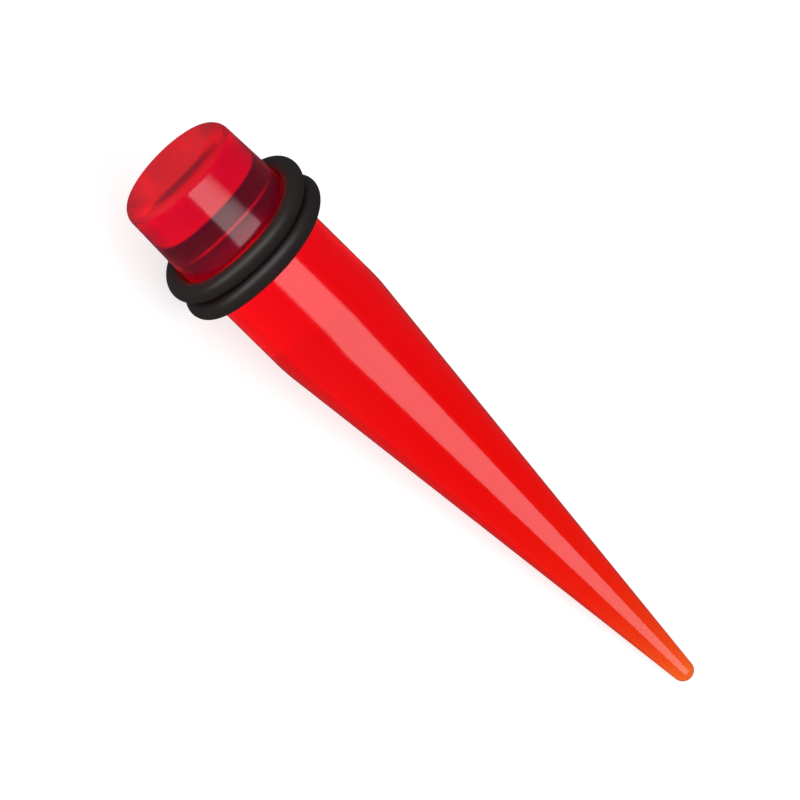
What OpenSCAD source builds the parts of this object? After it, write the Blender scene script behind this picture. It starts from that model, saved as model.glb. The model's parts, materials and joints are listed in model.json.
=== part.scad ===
// Ear stretching taper, lying on its side.
// One solid acrylic pin with a blunt head, a parallel shank and a long cone,
// and two rubber O-rings pushed together on the seat behind the head.
// It rests on one ring and on the tip, so its axis slopes down towards the tip.

/* [Acrylic body] */
// Length of the body from the flat head face to the end of the tip
body_len = 57.8; // [48:0.1:70]
// Diameter of the head just behind its rounded rim
rim_d = 10.1; // [8:0.1:10.4]
// Radius that rounds the rim of the head
rim_round = 1.2; // [0.3:0.1:2]
// Distance from the head face to the seat of the rings
flare_len = 6.0; // [4:0.1:8]
// Diameter of the seat that carries both rings
seat_d = 10.4; // [10.1:0.1:12]
// Length of the parallel seat
seat_len = 3.5; // [3.3:0.1:6]
// Length over which the seat falls to the shank
fall_len = 0.9; // [0.4:0.1:2]
// Diameter of the parallel shank, which is the stretched size of the ear
shank_d = 10.0; // [8:0.1:10]
// Length of the parallel shank, from the fall of the seat to the cone
shank_len = 7.5; // [4:0.1:12]
// Radius of the rounded tip
tip_r = 0.85; // [0.4:0.05:1.5]

/* [O-rings] */
// Thickness of the round rubber cord
cord_d = 1.5; // [1:0.01:1.8]
// Clearance between a ring and the seat
seat_gap = 0.03; // [0.02:0.01:0.2]
// Clearance between the two rings where they lie closest
ring_gap = 0.05; // [0.02:0.01:0.3]
// Distance from the start of the seat to the middle of the ring near the head
head_ring_at = 1.4; // [0.9:0.1:1.5]
// Lean of the ring near the head, in degrees off square to the axis
head_ring_lean = 3.9; // [0:0.1:8]
// Side on which that ring leans to the tip, in degrees round the axis from the top
head_ring_side = 86; // [-180:1:180]
// Lean of the ring near the tip, in degrees off square to the axis
tip_ring_lean = 2.5; // [0:0.1:8]
// Side on which that ring leans to the tip, in degrees round the axis from the top
tip_ring_side = 92; // [-180:1:180]

/* [Hidden] */
$fn = 96;

rim_r = rim_d / 2;
seat_r = seat_d / 2;
shank_r = shank_d / 2;
cord_r = cord_d / 2;

// Places along the axis, counted from the head face
seat_start = flare_len;
seat_end = seat_start + seat_len;
shank_start = seat_end + fall_len;
cone_start = shank_start + shank_len;
tip_centre = body_len - tip_r;

// Half angle of the cone, whose side is a tangent of the round tip
cone_reach = norm([tip_centre - cone_start, shank_r]);
cone_half = atan2(shank_r, tip_centre - cone_start) - asin(tip_r / cone_reach);

// Radius of a ring's centre line: its bore still clears the seat when it leans
function ring_r(lean) = (seat_r + seat_gap + cord_r) / cos(lean);

// Sideways reach of a ring's lean along the axis, as a vector across the axis
function lean_reach(lean, side) = ring_r(lean) * sin(lean) * [cos(side), sin(side)];

// The rings lie apart by their cord and gap where their leans bring them closest
lean_apart = norm(lean_reach(tip_ring_lean, tip_ring_side)
                - lean_reach(head_ring_lean, head_ring_side));
head_ring_z = seat_start + head_ring_at;
tip_ring_z = head_ring_z + cord_d + ring_gap + lean_apart;

// Sine of the slope at which a circle round the axis and the tip both touch the floor.
// The circle stands at z, has radius r and a round edge of radius edge.
// The slope itself turns the circle, so a few passes settle it.
function slope_sine(z, r, edge, lean, side, pass = 8) =
    let (
        last = pass == 0 ? 0 : slope_sine(z, r, edge, lean, side, pass - 1),
        level = sqrt(1 - last * last),
        off_plumb = last * cos(lean) + level * sin(lean) * cos(side)
    )
    (r * sqrt(1 - off_plumb * off_plumb) + edge - tip_r) / (tip_centre - z);

// The body comes to rest on whatever reaches lowest beside the tip
rest_slope = asin(max(
    slope_sine(head_ring_z, ring_r(head_ring_lean), cord_r, head_ring_lean, head_ring_side),
    slope_sine(tip_ring_z, ring_r(tip_ring_lean), cord_r, tip_ring_lean, tip_ring_side),
    slope_sine(seat_end, seat_r, 0, 0, 0),
    slope_sine(cone_start, shank_r, 0, 0, 0)
));

// Ends of the resting body along the floor, and the height of its head face's middle
head_reach = (rim_r - rim_round) * sin(rest_slope) + rim_round * (1 - cos(rest_slope));
tip_reach = tip_centre * cos(rest_slope) + tip_r;
rest_height = tip_centre * sin(rest_slope) + tip_r;

// Lays a piece that is built along +Z on the floor, its head at -X and its tip at +X
module laid() {
    translate([(head_reach - tip_reach) / 2, 0, rest_height])
        rotate([0, 90 + rest_slope, 0])
            children();
}

// Half outline of the acrylic body; the rim and the tip are left to their circles
module body_outline() {
    polygon([
        [0, 0],
        [rim_r - rim_round, 0],
        [rim_r - rim_round, rim_round],
        [rim_r, rim_round],
        [seat_r, seat_start],
        [seat_r, seat_end],
        [shank_r, shank_start],
        [shank_r, cone_start],
        [tip_r * cos(cone_half), tip_centre + tip_r * sin(cone_half)],
        [0, tip_centre]
    ]);
    intersection() {
        translate([rim_r - rim_round, rim_round])
            circle(r = rim_round);
        square([rim_r, rim_round]);
    }
    intersection() {
        translate([0, tip_centre])
            circle(r = tip_r);
        translate([0, tip_centre])
            square([tip_r, tip_r]);
    }
}

// One solid turned pin of clear red acrylic
module taper_body() {
    color([0.86, 0.03, 0.07, 0.85])
        laid()
            rotate_extrude()
                body_outline();
}

// One round rubber cord closed into a ring, leaning on the seat
module o_ring(z, lean, side) {
    color([0.1, 0.09, 0.09])
        laid()
            translate([0, 0, z])
                rotate([0, lean, side])
                    rotate_extrude()
                        translate([ring_r(lean), 0])
                            circle(r = cord_r);
}

module head_o_ring() {
    o_ring(head_ring_z, head_ring_lean, head_ring_side);
}

module tip_o_ring() {
    o_ring(tip_ring_z, tip_ring_lean, tip_ring_side);
}

taper_body();
head_o_ring();
tip_o_ring();
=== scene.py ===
"""Ear stretching taper: its polished acrylic and its rubber rings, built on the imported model."""

import json
import math

import bmesh
import bpy
from mathutils import Matrix, Vector


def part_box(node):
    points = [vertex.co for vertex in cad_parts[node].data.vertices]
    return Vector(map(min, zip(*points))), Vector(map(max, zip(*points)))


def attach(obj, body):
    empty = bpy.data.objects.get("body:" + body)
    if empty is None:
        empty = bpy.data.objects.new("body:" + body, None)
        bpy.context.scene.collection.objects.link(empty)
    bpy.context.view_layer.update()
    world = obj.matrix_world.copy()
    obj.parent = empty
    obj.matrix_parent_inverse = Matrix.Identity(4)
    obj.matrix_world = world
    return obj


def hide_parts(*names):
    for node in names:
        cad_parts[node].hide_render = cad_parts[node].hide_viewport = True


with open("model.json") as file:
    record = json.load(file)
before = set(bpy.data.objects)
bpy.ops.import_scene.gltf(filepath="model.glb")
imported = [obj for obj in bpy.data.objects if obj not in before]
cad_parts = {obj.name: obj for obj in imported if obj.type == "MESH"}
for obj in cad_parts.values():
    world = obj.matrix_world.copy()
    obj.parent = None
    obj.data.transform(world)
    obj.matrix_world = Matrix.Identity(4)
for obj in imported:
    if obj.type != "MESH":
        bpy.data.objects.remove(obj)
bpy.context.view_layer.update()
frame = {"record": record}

MM = 0.001


# Sizes of the acrylic body, in millimetres, as in the part's source

BODY_LENGTH = 57.8
RIM_RADIUS = 5.05
RIM_ROUND = 1.2
SEAT_RADIUS = 5.2
SEAT_START = 6.0
SEAT_END = 9.5
SHANK_RADIUS = 5.0
SHANK_START = 10.4
CONE_START = 17.9
TIP_RADIUS = 0.85

# How the lathe drawing rounds its corners, in millimetres and degrees. The blend into the seat is long and
# the fall behind it short. A brace is the short straight edge on each side of a fillet, and the weld is
# wide enough to close the body's poles.

FLARE_FILLET = 40.0
FALL_FILLET = 1.5
CONE_FILLET = 15.0
BRACE = 0.06
FILLET_STEP = 2.5
FEWEST_FILLET_STEPS = 4
TIP_STEPS = 24
LATHE_STEPS = 288
WELD = 0.0001

# Sizes of the rings, in millimetres and degrees round the axis from the top. The cord's radius is 0.05 mm
# more than in the part's source, because that fits the photograph better. The rubber gives a little, as it
# does when it is rolled into place: a ring leans to the tip on one side by a reach, bows to the tip on two
# sides and waves on three, and its cord is a little thicker on one side. The cord is pressed into the seat,
# and its flats stay a contact gap clear of the seat and of the middle between the rings.

CORD_RADIUS = 0.8
CORD_SWELL = 0.02
THICK_SIDE = -43.5
RING_PRESS = 0.03
CONTACT_GAP = 0.004
CORD_SIDES = 64
RING_STEPS = 256
HEAD_RING = {
    "node": "head_o_ring", "shift": -0.086, "reach": 0.62, "side": 67.0,
    "bow": 0.123, "bow_side": 46.5, "wave": 0.103, "wave_side": -1.5,
}
TIP_RING = {
    "node": "tip_o_ring", "shift": 0.04, "reach": 0.463, "side": 78.7,
    "bow": 0.03, "bow_side": 136.5, "wave": 0.057, "wave_side": 10.4,
}

# How the photograph was taken, as worked out from it. The side is in degrees round the axis from the
# top, the head's turn is the sine of an angle, the slope is in degrees, the aim and the sensor are in
# millimetres, and the rest is in metres.

CAMERA_SIDE = 46.5
HEAD_TURNED_TO_CAMERA = 0.305
AXIS_SLOPE_IN_PICTURE = 44.5
AIM_ALONG_AXIS = 25.9
AIM_BELOW_AXIS = 0.42
CAMERA_DISTANCE = 2.0
CAMERA_REACH = (0.05, 10.0)
FIELD_WIDTH = 0.0602
SENSOR_WIDTH = 36.0

# The two lights, in millimetres and degrees. Each stands off the place on the axis that it faces, turned
# round the axis from the camera's side and towards the tip, and reaches across the taper and along it.

STRIPE_LIGHT = {
    "faces": 28.0, "distance": 400.0, "azimuth": -1.3, "to_tip": 21.3, "twist": 14.6,
    "across": (-120.0, 281.2), "along": (-121.0, 145.0), "radiance": 2.9,
}
RING_LIGHT = {
    "faces": 8.7, "distance": 100.0, "azimuth": 18.0, "to_tip": -46.0, "twist": 0.0,
    "across": (-130.0, 130.0), "along": (-34.0, 34.0), "radiance": 2.2,
}

# The surroundings: the tent's light, the room that the polish mirrors instead of it, and the floor, which
# reaches this many metres each way from the middle

TENT_LIGHT = (0.97, 0.97, 0.97, 1.0)
MIRRORED_ROOM = (0.065, 0.065, 0.07, 1.0)
FLOOR_COLOUR = "a0a0a0"
FLOOR_GLOW_COLOUR = "ffffff"
FLOOR_GLOW = 0.72
FLOOR_REACH = 3.0
LIGHT_BOUNCES = 64

# Colours of the scattered share at places along the body, in millimetres from the head face. They are partly
# painted light: the head is darker crimson as painted shade and bluer as painted reflection, the face is
# lighter, and near 4.5 mm a brownish band is painted where the rings on the far side show through.

HAZE_AND_PAINTED_LIGHT_ALONG_BODY = (
    (0.0, "fc0a86"),
    (0.9, "ee0a92"),
    (1.5, "ce0a98"),
    (3.0, "ce0a98"),
    (4.5, "f03a64"),
    (7.0, "f41086"),
    (12.0, "ec0646"),
    (28.0, "ec0414"),
    (35.0, "ec1804"),
    (40.0, "ec3804"),
    (47.0, "ec6614"),
    (52.0, "ec9c34"),
    (57.8, "f4cc70"),
)

# The acrylic lets the clear share of the light in, and its haze scatters the rest. The dye fades red, green
# and blue light by these powers of e for each millimetre.

ACRYLIC_IOR = 1.49
CLEAR_SHARE = 0.95
DYE_FADING = (0.00225, 1.2, 2.25)

# The head face is only cut and tumbled, so it is duller than the turned and buffed sides. Its finish passes
# into theirs on the rim, between two places in millimetres from the face.

FACE_ROUGHNESS = 0.4
SIDE_ROUGHNESS = 0.12
FACE_ENDS = 0.8
SIDE_STARTS = 1.15

# The buffing leaves faint lines round the body, and the mould leaves a grain on the rubber. Real lines and
# grain are too fine to show, so both are drawn coarser, in millimetres.

BUFFING_SPACING = 0.35
BUFFING_HEIGHT = 0.002
BUFFING_OCTAVES = 2.0
GRAIN_WIDTH = 0.09
GRAIN_HEIGHT = 0.004
GRAIN_OCTAVES = 3.0

# The rubber's roughness wanders between two values in patches, as the noise rises from its low to its high

RUBBER_COLOUR = "211a19"
RUBBER_IOR = 1.52
RUBBER_ROUGHNESS = (0.39, 0.46)
PATCH_WIDTH = 0.8
PATCH_NOISE = (0.3, 0.7)
PATCH_OCTAVES = 2.0


# The body's own frame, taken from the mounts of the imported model

mounts = {mount["name"]: mount for mount in frame["record"]["mounts"]}
head_middle = Vector(mounts["head_face"]["pos_m"])
to_tip = -Vector(mounts["head_face"]["axis"]).normalized()
level = Vector((0.0, 1.0, 0.0))
down = level.cross(to_tip)
laid = Matrix.Translation(head_middle) @ Matrix((down, level, to_tip)).transposed().to_4x4()

camera_side = math.radians(CAMERA_SIDE)
to_camera_across = -math.cos(camera_side) * down - math.sin(camera_side) * level
picture_low = to_tip.cross(to_camera_across)


# Helpers for materials


def srgb(text):
    """A linear colour from an sRGB hex value such as c81020."""
    channels = [int(text[n:n + 2], 16) / 255 for n in (0, 2, 4)]
    return tuple(c / 12.92 if c <= 0.04045 else ((c + 0.055) / 1.055) ** 2.4 for c in channels) + (1.0,)


def add_node(tree, kind, inputs=None, **settings):
    """Adds a node. A socket given as an input is linked, and any other value is set on the node's socket."""
    made = tree.nodes.new(kind)
    for name, value in settings.items():
        setattr(made, name, value)
    for name, value in (inputs or {}).items():
        if isinstance(value, bpy.types.NodeSocket):
            tree.links.new(value, made.inputs[name])
        else:
            made.inputs[name].default_value = value
    return made


def new_material(name):
    """A material without nodes, and the tree that its nodes are added to."""
    material = bpy.data.materials.new(name)
    material.use_nodes = True
    material.node_tree.nodes.clear()
    return material, material.node_tree


# Materials


def polished_acrylic():
    """Cast acrylic dyed red right through, turned and polished: clear, with a faint cloudiness.
    The dye lets red light pass and takes most green and blue within a millimetre, so the thin tip turns
    orange. The cloudiness is tinted along the body with painted light: darker crimson at the head as painted
    shade, bluer there as painted reflection, a painted brownish band where the far rings show through, and
    orange at the tip."""
    material, tree = new_material("polished_red_acrylic")
    place = add_node(tree, "ShaderNodeTexCoord")
    along = add_node(tree, "ShaderNodeVectorMath", {
        0: place.outputs["Object"],
        1: to_tip,
    }, operation="DOT_PRODUCT")
    start = head_middle.dot(to_tip)
    share = add_node(tree, "ShaderNodeMapRange", {
        "Value": along.outputs["Value"],
        "From Min": start,
        "From Max": start + MM * BODY_LENGTH,
    })
    # This tint along the body holds painted shade and painted reflection at the head, and a painted band
    # where the far rings show through
    haze_and_painted_light = add_node(tree, "ShaderNodeValToRGB", {"Fac": share.outputs["Result"]})
    haze_and_painted_light.color_ramp.elements.remove(haze_and_painted_light.color_ramp.elements[1])
    for number, (at, colour) in enumerate(HAZE_AND_PAINTED_LIGHT_ALONG_BODY):
        stop = haze_and_painted_light.color_ramp.elements[0] if number == 0 else haze_and_painted_light.color_ramp.elements.new(at / BODY_LENGTH)
        stop.position = at / BODY_LENGTH
        stop.color = srgb(colour)
    roughness = add_node(tree, "ShaderNodeMapRange", {
        "Value": along.outputs["Value"],
        "From Min": start + MM * FACE_ENDS,
        "From Max": start + MM * SIDE_STARTS,
        "To Min": FACE_ROUGHNESS,
        "To Max": SIDE_ROUGHNESS,
    })
    buffing = add_node(tree, "ShaderNodeTexNoise", {
        "W": along.outputs["Value"],
        "Scale": 1 / (MM * BUFFING_SPACING),
        "Detail": BUFFING_OCTAVES,
    }, noise_dimensions="1D")
    lines = add_node(tree, "ShaderNodeBump", {
        "Height": buffing.outputs["Fac"],
        "Strength": 1.0,
        "Distance": MM * BUFFING_HEIGHT,
    })
    surface = add_node(tree, "ShaderNodeBsdfPrincipled", {
        "Base Color": haze_and_painted_light.outputs["Color"],
        "Normal": lines.outputs["Normal"],
        "Roughness": roughness.outputs["Result"],
        "IOR": ACRYLIC_IOR,
        "Transmission Weight": CLEAR_SHARE,
    })
    strongest = max(DYE_FADING)
    dye = add_node(tree, "ShaderNodeVolumeAbsorption", {
        "Color": [1 - fading / strongest for fading in DYE_FADING] + [1.0],
        "Density": strongest / MM,
    })
    add_node(tree, "ShaderNodeOutputMaterial", {
        "Surface": surface.outputs["BSDF"],
        "Volume": dye.outputs["Volume"],
    })
    return material


def moulded_rubber():
    """Black rubber from a finely ground mould: a satin gloss over an almost black, slightly warm body."""
    material, tree = new_material("moulded_black_rubber")
    place = add_node(tree, "ShaderNodeTexCoord")
    grain = add_node(tree, "ShaderNodeTexNoise", {
        "Vector": place.outputs["Object"],
        "Scale": 1 / (MM * GRAIN_WIDTH),
        "Detail": GRAIN_OCTAVES,
    })
    patches = add_node(tree, "ShaderNodeTexNoise", {
        "Vector": place.outputs["Object"],
        "Scale": 1 / (MM * PATCH_WIDTH),
        "Detail": PATCH_OCTAVES,
    })
    roughness = add_node(tree, "ShaderNodeMapRange", {
        "Value": patches.outputs["Fac"],
        "From Min": PATCH_NOISE[0],
        "From Max": PATCH_NOISE[1],
        "To Min": RUBBER_ROUGHNESS[0],
        "To Max": RUBBER_ROUGHNESS[1],
    })
    relief = add_node(tree, "ShaderNodeBump", {
        "Height": grain.outputs["Fac"],
        "Strength": 1.0,
        "Distance": MM * GRAIN_HEIGHT,
    })
    surface = add_node(tree, "ShaderNodeBsdfPrincipled", {
        "Base Color": srgb(RUBBER_COLOUR),
        "Normal": relief.outputs["Normal"],
        "Roughness": roughness.outputs["Result"],
        "IOR": RUBBER_IOR,
    })
    add_node(tree, "ShaderNodeOutputMaterial", {"Surface": surface.outputs["BSDF"]})
    return material


def matt_light_table():
    """Matt white plastic lit from below. The glow gives most of its brightness and keeps shadows faint."""
    material, tree = new_material("matt_white_light_table")
    card = add_node(tree, "ShaderNodeBsdfDiffuse", {"Color": srgb(FLOOR_COLOUR)})
    glow = add_node(tree, "ShaderNodeEmission", {"Color": srgb(FLOOR_GLOW_COLOUR), "Strength": FLOOR_GLOW})
    surface = add_node(tree, "ShaderNodeAddShader", {0: card.outputs["BSDF"], 1: glow.outputs["Emission"]})
    add_node(tree, "ShaderNodeOutputMaterial", {"Surface": surface.outputs["Shader"]})
    return material


# Helpers for pieces


def finish_piece(name, mesh, material, node):
    """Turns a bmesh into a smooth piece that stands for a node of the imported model."""
    data = bpy.data.meshes.new(name)
    bmesh.ops.recalc_face_normals(mesh, faces=mesh.faces)
    mesh.to_mesh(data)
    mesh.free()
    data.materials.append(material)
    data.shade_smooth()
    piece = bpy.data.objects.new(name, data)
    bpy.context.scene.collection.objects.link(piece)
    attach(piece, "root")
    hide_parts(node)
    return piece


def add_arc(outline, start, centre, turn, steps):
    """Turns the outline's last vertex about a centre, and gives the vertex at the arc's end."""
    made = bmesh.ops.spin(outline, geom=[start], cent=centre, axis=(0, 1, 0), angle=turn,
                          steps=steps, use_duplicate=False, dvec=(0, 0, 0))
    return next(v for v in made["geom_last"] if isinstance(v, bmesh.types.BMVert))


def add_line(outline, start, radius, along):
    """Draws the outline's next straight edge, and gives the vertex at its end."""
    end = outline.verts.new((radius, 0, along))
    outline.edges.new((start, end))
    return end


def add_corner(outline, start, corner, after, fillet):
    """Draws a straight edge to a corner that is rounded by a fillet, and gives the last vertex.
    A short brace before and after the fillet keeps its bend out of the straight parts' shading."""
    here = Vector((start.co.x, start.co.z))
    corner = Vector(corner)
    into = (corner - here).normalized()
    out = (Vector(after) - corner).normalized()
    bend = into.angle_signed(out)
    reach = fillet * math.tan(abs(bend) / 2)
    first = corner - reach * into
    last = corner + reach * out
    side = math.copysign(1, bend)
    centre = first + fillet * side * Vector((into.y, -into.x))
    steps = max(FEWEST_FILLET_STEPS, math.ceil(math.degrees(abs(bend)) / FILLET_STEP))
    start = add_line(outline, start, *(first - BRACE * into))
    start = add_line(outline, start, *first)
    start = add_arc(outline, start, (centre.x, 0, centre.y), bend, steps)
    return add_line(outline, start, *(last + BRACE * out))


# Pieces


def acrylic_body(material):
    """The turned and polished pin, as one lathe shape from the head face to the tip."""
    tip_centre = BODY_LENGTH - TIP_RADIUS
    cone_run = math.hypot(tip_centre - CONE_START, SHANK_RADIUS)
    cone_half = math.atan2(SHANK_RADIUS, tip_centre - CONE_START) - math.asin(TIP_RADIUS / cone_run)
    flare = math.atan2(SEAT_RADIUS - RIM_RADIUS, SEAT_START - RIM_ROUND)
    cone_end = (TIP_RADIUS * math.cos(cone_half), tip_centre + TIP_RADIUS * math.sin(cone_half))

    outline = bmesh.new()
    at = outline.verts.new((0, 0, 0))
    corners = [
        ((RIM_RADIUS - RIM_ROUND * math.tan(flare), 0), RIM_ROUND),
        ((SEAT_RADIUS, SEAT_START), FLARE_FILLET),
        ((SEAT_RADIUS, SEAT_END), FALL_FILLET),
        ((SHANK_RADIUS, SHANK_START), FALL_FILLET),
        ((SHANK_RADIUS, CONE_START), CONE_FILLET),
        (cone_end, 0),
    ]
    for (corner, fillet), (after, _) in zip(corners, corners[1:]):
        at = add_corner(outline, at, corner, after, fillet)
    cone_side = Vector((math.sin(cone_half), -math.cos(cone_half)))
    at = add_line(outline, at, *(Vector(cone_end) + BRACE * cone_side))
    at = add_line(outline, at, *cone_end)
    add_arc(outline, at, (0, 0, tip_centre), cone_half - math.pi / 2, TIP_STEPS)

    bmesh.ops.spin(outline, geom=outline.verts[:] + outline.edges[:], cent=(0, 0, 0), axis=(0, 0, 1),
                   angle=math.tau, steps=LATHE_STEPS, use_merge=True, use_duplicate=False, dvec=(0, 0, 0))
    bmesh.ops.remove_doubles(outline, verts=outline.verts, dist=WELD)
    bmesh.ops.transform(outline, matrix=laid @ Matrix.Scale(MM, 4), verts=outline.verts)
    return finish_piece("acrylic_body", outline, material, "taper_body")


def ring_middle(ring):
    """Where the middle of a ring's node lies along the axis."""
    lo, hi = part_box(ring["node"])
    return (laid.inverted() @ ((lo + hi) / 2)).z / MM


def cord_place(ring, middle, round_axis):
    """Where a ring's cord lies along the axis, on one side of the seat."""
    lean = ring["reach"] * math.cos(round_axis - math.radians(ring["side"]))
    bow = ring["bow"] * math.cos(2 * (round_axis - math.radians(ring["bow_side"])))
    wave = ring["wave"] * math.cos(3 * (round_axis - math.radians(ring["wave_side"])))
    return middle + ring["shift"] + lean + bow + wave


def rubber_ring(name, ring, other, material):
    """A moulded rubber cord in a ring, pressed flat where it grips the seat and meets the other ring.
    It is made round an upright axis, with the side that ends at the top of the taper at -x."""
    grip = SEAT_RADIUS - RING_PRESS
    middle, other_middle = ring_middle(ring), ring_middle(other)
    mesh = bmesh.new()
    bmesh.ops.create_circle(mesh, segments=CORD_SIDES, radius=CORD_RADIUS)
    upright = Matrix.Translation((grip + CORD_RADIUS, 0, 0)) @ Matrix.Rotation(math.pi / 2, 4, "X")
    bmesh.ops.transform(mesh, matrix=upright, verts=mesh.verts)
    bmesh.ops.spin(mesh, geom=mesh.verts[:] + mesh.edges[:], cent=(0, 0, 0), axis=(0, 0, 1),
                   angle=math.tau, steps=RING_STEPS, use_merge=True, use_duplicate=False, dvec=(0, 0, 0))
    for vertex in mesh.verts:
        round_axis = math.atan2(-vertex.co.y, -vertex.co.x)
        place = cord_place(ring, middle, round_axis)
        other_place = cord_place(other, other_middle, round_axis)
        swell = 1 + CORD_SWELL * math.cos(round_axis - math.radians(THICK_SIDE))
        reach = grip + swell * (vertex.co.xy.length - grip)
        vertex.co.xy *= max(reach, SEAT_RADIUS + CONTACT_GAP) / vertex.co.xy.length
        room = abs(other_place - place) / 2 - CONTACT_GAP
        toward_other = math.copysign(1, other_place - place)
        vertex.co.z = place + toward_other * min(room, toward_other * swell * vertex.co.z)
    bmesh.ops.transform(mesh, matrix=laid @ Matrix.Scale(MM, 4), verts=mesh.verts)
    return finish_piece(name, mesh, material, ring["node"])


# Camera, lights and surroundings


def add_camera():
    """The photograph's view: the taper slopes down to the right, with its head face turned to the camera."""
    off_square = math.sqrt(1 - HEAD_TURNED_TO_CAMERA ** 2)
    back = -HEAD_TURNED_TO_CAMERA * to_tip + off_square * to_camera_across
    along = (to_tip + HEAD_TURNED_TO_CAMERA * back) / off_square
    above = back.cross(along)
    slope = math.radians(AXIS_SLOPE_IN_PICTURE)
    right = math.cos(slope) * along + math.sin(slope) * above
    up = math.cos(slope) * above - math.sin(slope) * along
    aim = head_middle + MM * (AIM_ALONG_AXIS * to_tip - AIM_BELOW_AXIS * above)
    data = bpy.data.cameras.new("camera")
    data.sensor_width = SENSOR_WIDTH
    data.lens = SENSOR_WIDTH * CAMERA_DISTANCE / FIELD_WIDTH
    data.clip_start, data.clip_end = CAMERA_REACH
    camera = bpy.data.objects.new("camera", data)
    camera.matrix_world = (Matrix.Translation(aim + CAMERA_DISTANCE * back)
                           @ Matrix((right, up, back)).transposed().to_4x4())
    bpy.context.scene.collection.objects.link(camera)
    bpy.context.scene.camera = camera


def add_softbox(name, box, lit):
    """A rectangular box light. It lights only the things that it is given, as a photographer's flags do.
    Its power is its radiance times its area times pi, which is how an area light is counted."""
    azimuth, rise, twist = (math.radians(box[key]) for key in ("azimuth", "to_tip", "twist"))
    away = (math.sin(rise) * to_tip + math.cos(rise) * math.cos(azimuth) * to_camera_across
            + math.cos(rise) * math.sin(azimuth) * picture_low)
    level_along = (to_tip - to_tip.dot(away) * away).normalized()
    level_across = away.cross(level_along)
    across = math.cos(twist) * level_across + math.sin(twist) * level_along
    along = math.cos(twist) * level_along - math.sin(twist) * level_across
    (left, right), (near, far) = box["across"], box["along"]
    centre = head_middle + MM * (box["faces"] * to_tip + box["distance"] * away
                                 + (left + right) / 2 * across + (near + far) / 2 * along)
    data = bpy.data.lights.new(name, "AREA")
    data.shape = "RECTANGLE"
    data.size, data.size_y = (right - left) * MM, (far - near) * MM
    data.energy = box["radiance"] * math.pi * data.size * data.size_y
    softbox = bpy.data.objects.new(name, data)
    softbox.matrix_world = Matrix.Translation(centre) @ Matrix((-across, along, away)).transposed().to_4x4()
    bpy.context.scene.collection.objects.link(softbox)
    receivers = bpy.data.collections.new(name + "_lights")
    for thing in lit:
        receivers.objects.link(thing)
    softbox.light_linking.receiver_collection = receivers


def add_world():
    """A white tent of soft light. Glossy surfaces mirror a dim, faintly blue room instead of it."""
    world = bpy.data.worlds.new("studio")
    world.use_nodes = True
    tree = world.node_tree
    tree.nodes.clear()
    path = add_node(tree, "ShaderNodeLightPath")
    mirrored = add_node(tree, "ShaderNodeMath", {
        0: path.outputs["Is Reflection Ray"],
        1: path.outputs["Is Glossy Ray"],
    }, operation="MULTIPLY")
    colour = add_node(tree, "ShaderNodeMix", {
        "Factor": mirrored.outputs["Value"],
        "A": TENT_LIGHT,
        "B": MIRRORED_ROOM,
    }, data_type="RGBA")
    light = add_node(tree, "ShaderNodeBackground", {"Color": colour.outputs["Result"]})
    add_node(tree, "ShaderNodeOutputWorld", {"Surface": light.outputs["Background"]})
    bpy.context.scene.world = world


def add_floor():
    """A plain pale floor, which no polished surface mirrors."""
    mesh = bmesh.new()
    bmesh.ops.create_grid(mesh, x_segments=1, y_segments=1, size=FLOOR_REACH)
    data = bpy.data.meshes.new("floor")
    mesh.to_mesh(data)
    mesh.free()
    data.materials.append(matt_light_table())
    floor = bpy.data.objects.new("floor", data)
    floor.visible_glossy = False
    bpy.context.scene.collection.objects.link(floor)
    return floor


add_camera()
add_world()
floor = add_floor()

rubber = moulded_rubber()
body = acrylic_body(polished_acrylic())
rings = [
    rubber_ring("head_ring", HEAD_RING, TIP_RING, rubber),
    rubber_ring("tip_ring", TIP_RING, HEAD_RING, rubber),
]
add_softbox("stripe_light", STRIPE_LIGHT, [body, floor])
add_softbox("ring_light", RING_LIGHT, rings)

bpy.context.scene.view_settings.view_transform = "Standard"
bpy.context.scene.cycles.max_bounces = LIGHT_BOUNCES
bpy.context.scene.cycles.glossy_bounces = LIGHT_BOUNCES
bpy.context.scene.cycles.transmission_bounces = LIGHT_BOUNCES
